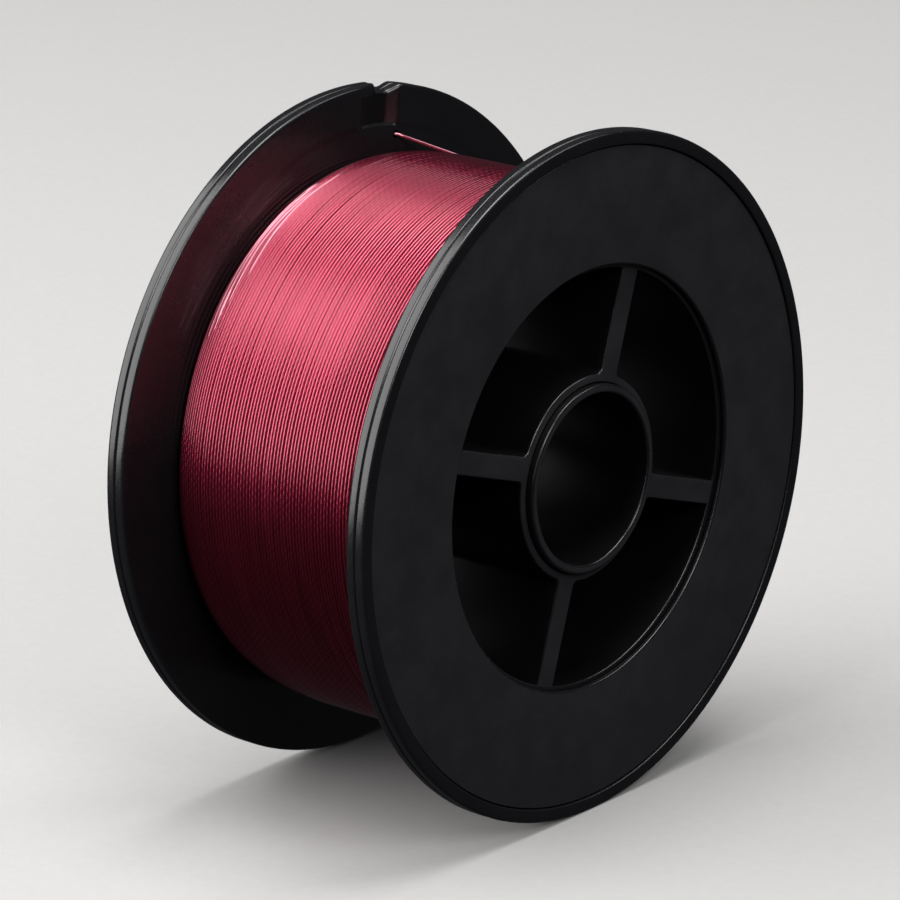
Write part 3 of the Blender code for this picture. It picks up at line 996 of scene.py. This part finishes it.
studioSizes = {
    "floorReach": 1.0,            # metres from the spool to the floor's edges
    "panelDistance": 0.8,
    "panels": {                   # direction, the way its width runs, width, height, radiance
        "side bank": ((-0.68, 0.448, 0.576), (0.638, 0, 0.77), 1.27, 1.1, 4.2),
        "front panel": ((-0.31, -0.73, 0.57), (1, 0, 0), 0.34, 0.34, 8.0),
        "right panel": ((0.56, -0.48, 0.67), (1, 0, 0), 0.26, 0.26, 4.5),
    },
    "overheadDirection": (0.1, -0.05, 0.99),
    "overheadStrength": 3.0,      # watts on each square metre
    "overheadAngle": 37,          # degrees across
    "fillColour": "#c8ccd2",
    "fillStrength": 0.06,
    "wallColour": "#cdcccb",
}

cameraSizes = {
    "lens": 185.3,                # mm
    "sensor": 36,                 # mm
    "place": (-0.3918, -0.3291, 0.1600),
    "aim": (0.7284, 0.6165, -0.2990),
}


def makeFloor():
    # One level square under the rims. It is left out of reflections and sends no light back,
    # so the black plastic above it stays black.
    reach = studioSizes["floorReach"]
    points = np.array([[-1, -1, 0], [1, -1, 0], [1, 1, 0], [-1, 1, 0]]) * reach
    points[:, 2] = -rimRadius
    mesh = bpy.data.meshes.new("floor")
    mesh.from_pydata(points.tolist(), [], [[0, 1, 2, 3]])
    floor = bpy.data.objects.new("floor", mesh)
    bpy.context.scene.collection.objects.link(floor)
    mesh.materials.append(paintedBoard())
    floor.visible_glossy = False
    floor.visible_diffuse = False


def softbox(name, direction, sideways, width, height, radiance):
    # A soft panel in a direction from the spool, facing it, its width along a sideways
    # direction. Its power is its radiance times pi times its area.
    data = bpy.data.lights.new(name, "AREA")
    data.shape = "RECTANGLE"
    data.size, data.size_y = width, height
    data.energy = radiance * math.pi * width * height
    light = bpy.data.objects.new(name, data)
    bpy.context.scene.collection.objects.link(light)
    back = mathutils.Vector(direction).normalized()
    across = mathutils.Vector(sideways)
    across = (across - across.dot(back) * back).normalized()
    turn = mathutils.Matrix((across, back.cross(across), back)).transposed()
    light.matrix_world = mathutils.Matrix.Translation(back * studioSizes["panelDistance"]) @ turn.to_4x4()
    light.visible_camera = False


def overheadLight():
    # a very large soft light almost straight above, as strong on the far floor as on the spool
    data = bpy.data.lights.new("overhead light", "SUN")
    data.energy = studioSizes["overheadStrength"]
    data.angle = math.radians(studioSizes["overheadAngle"])
    light = bpy.data.objects.new("overhead light", data)
    bpy.context.scene.collection.objects.link(light)
    above = mathutils.Vector(studioSizes["overheadDirection"])
    light.rotation_euler = above.to_track_quat("Z", "Y").to_euler()


def makeWorld():
    # seen directly it is a pale wall beyond the floor; as light it is a weak even fill
    s = studioSizes
    world = bpy.data.worlds.new("studio")
    bpy.context.scene.world = world
    world.use_nodes = True
    tree = world.node_tree
    fill = tree.nodes["Background"]
    fill.inputs["Color"].default_value = linearColour(s["fillColour"])
    fill.inputs["Strength"].default_value = s["fillStrength"]
    wall = addNode(tree, "ShaderNodeBackground",
                   values={"Color": linearColour(s["wallColour"]), "Strength": 1.0})
    seen = addNode(tree, "ShaderNodeLightPath")
    mix = addNode(tree, "ShaderNodeMixShader", {0: seen.outputs["Is Camera Ray"],
                                                1: fill.outputs[0], 2: wall.outputs[0]})
    tree.links.new(mix.outputs[0], tree.nodes["World Output"].inputs["Surface"])


def makeCamera():
    # tilted and turned, without roll, so that it looks along its aim
    s = cameraSizes
    data = bpy.data.cameras.new("camera")
    data.lens = s["lens"]
    data.sensor_width = s["sensor"]
    camera = bpy.data.objects.new("camera", data)
    bpy.context.scene.collection.objects.link(camera)
    camera.location = s["place"]
    aim = np.array(s["aim"])
    tilt = math.acos(-aim[2] / np.linalg.norm(aim))
    camera.rotation_euler = (tilt, 0, math.atan2(aim[1], aim[0]) - math.pi / 2)
    bpy.context.scene.camera = camera


makeFloor()
for name, panel in studioSizes["panels"].items():
    softbox(name, *panel)
overheadLight()
makeWorld()
bpy.context.scene.view_settings.view_transform = "Standard"
makeCamera()
print("studio ready")
